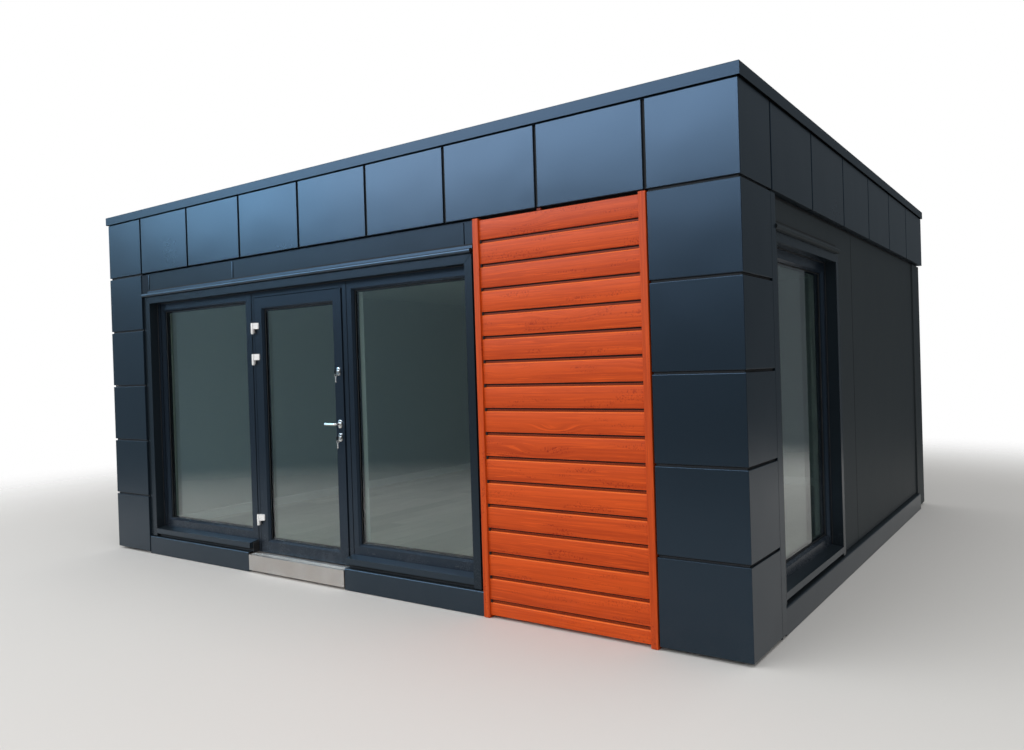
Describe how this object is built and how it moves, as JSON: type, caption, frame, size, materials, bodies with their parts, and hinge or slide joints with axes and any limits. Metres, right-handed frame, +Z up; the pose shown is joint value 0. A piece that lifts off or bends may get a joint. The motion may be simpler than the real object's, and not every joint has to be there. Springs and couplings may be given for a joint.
{
  "type": "portable site cabin",
  "caption": "Flat-roofed modular site cabin with metal cassette cladding, full-height glazing, a glazed hinged door and a timber-boarded panel.",
  "frame": {"origin": "middle of the footprint at ground level, under the roof coping's outline", "axes": "+X along the glazed front to the right as seen from outside, +Y from the front to the back, +Z up"},
  "size_m": [6.086, 5.566, 3.097],
  "materials": {
    "packer": "matte moulded pads",
    "chassis_steel": "dark primer",
    "floor_board": "structural board",
    "floor_covering": "grey-beige planks, satin",
    "wall_core": "dark membrane over insulated panel",
    "white_lining": "white, matt",
    "roof_sheet": "single-ply sheet, matt",
    "cladding": "anthracite satin powder coat",
    "threshold_metal": "brushed, a little dulled",
    "stained_timber": "orange-red stained softwood, satin",
    "frame_profile": "anthracite foil outside, white inside",
    "window_glass": "clear double glazing",
    "hinge_white": "white powder coat",
    "handle_chrome": "polished"
  },
  "bodies": {
    "cabin": {"support_packers": "packer", "chassis_rails": "chassis_steel", "chassis_joists": "chassis_steel", "floor_deck": "floor_board", "floor_finish": "floor_covering", "front_wall_left": "wall_core", "front_wall_right": "wall_core", "front_wall_head": "wall_core", "front_wall_upstands": "wall_core", "right_wall_front": "wall_core", "right_wall_rear": "wall_core", "right_wall_head": "wall_core", "right_wall_upstand": "wall_core", "left_wall": "wall_core", "back_wall": "wall_core", "roof_deck": "wall_core", "parapet": "wall_core", "wall_linings": "white_lining", "ceiling_lining": "white_lining", "skirting": "white_lining", "window_reveals": "white_lining", "door_post": "white_lining", "roof_membrane": "roof_sheet", "coping": "cladding", "front_fascia": "cladding", "back_fascia": "cladding", "right_fascia": "cladding", "left_fascia": "cladding", "corner_fascia": "cladding", "right_corner_cassettes": "cladding", "left_corner_cassettes": "cladding", "front_wall_panels": "cladding", "right_wall_panels": "cladding", "left_wall_panels": "cladding", "back_wall_panels": "cladding", "corner_jamb_strips": "cladding", "rear_corner_trims": "cladding", "front_casing": "cladding", "side_casing": "cladding", "front_drip_rail": "cladding", "side_drip_rail": "cladding", "window_sills": "cladding", "plinth_bands": "cladding", "door_threshold": "threshold_metal", "feature_boards": "stained_timber", "feature_trims": "stained_timber", "left_window_frame": "frame_profile", "right_window_frame": "frame_profile", "side_window_frame": "frame_profile", "door_frame": "frame_profile", "left_window_glass": "window_glass", "right_window_glass": "window_glass", "side_window_glass": "window_glass", "hinge_barrels": "hinge_white"},
    "door": {"door_leaf": "frame_profile", "door_glass": "window_glass", "hinge_flags": "hinge_white", "door_roses": "handle_chrome", "door_locks": "handle_chrome"},
    "lever": {"lever_handle": "handle_chrome"}
  },
  "joints": [
    {"name": "door_swing", "type": "hinge", "parent": "cabin", "child": "door", "pos_m": [-1.032, -2.697, 1.2], "axis": [0, 0, -1], "range_deg": [0, 90]},
    {"name": "handle_turn", "type": "hinge", "parent": "door", "child": "lever", "pos_m": [-0.066, -2.676, 1.2], "axis": [0, -1, 0], "range_deg": [0, 35], "stiffness_Nm_per_rad": 1.5}
  ]
}
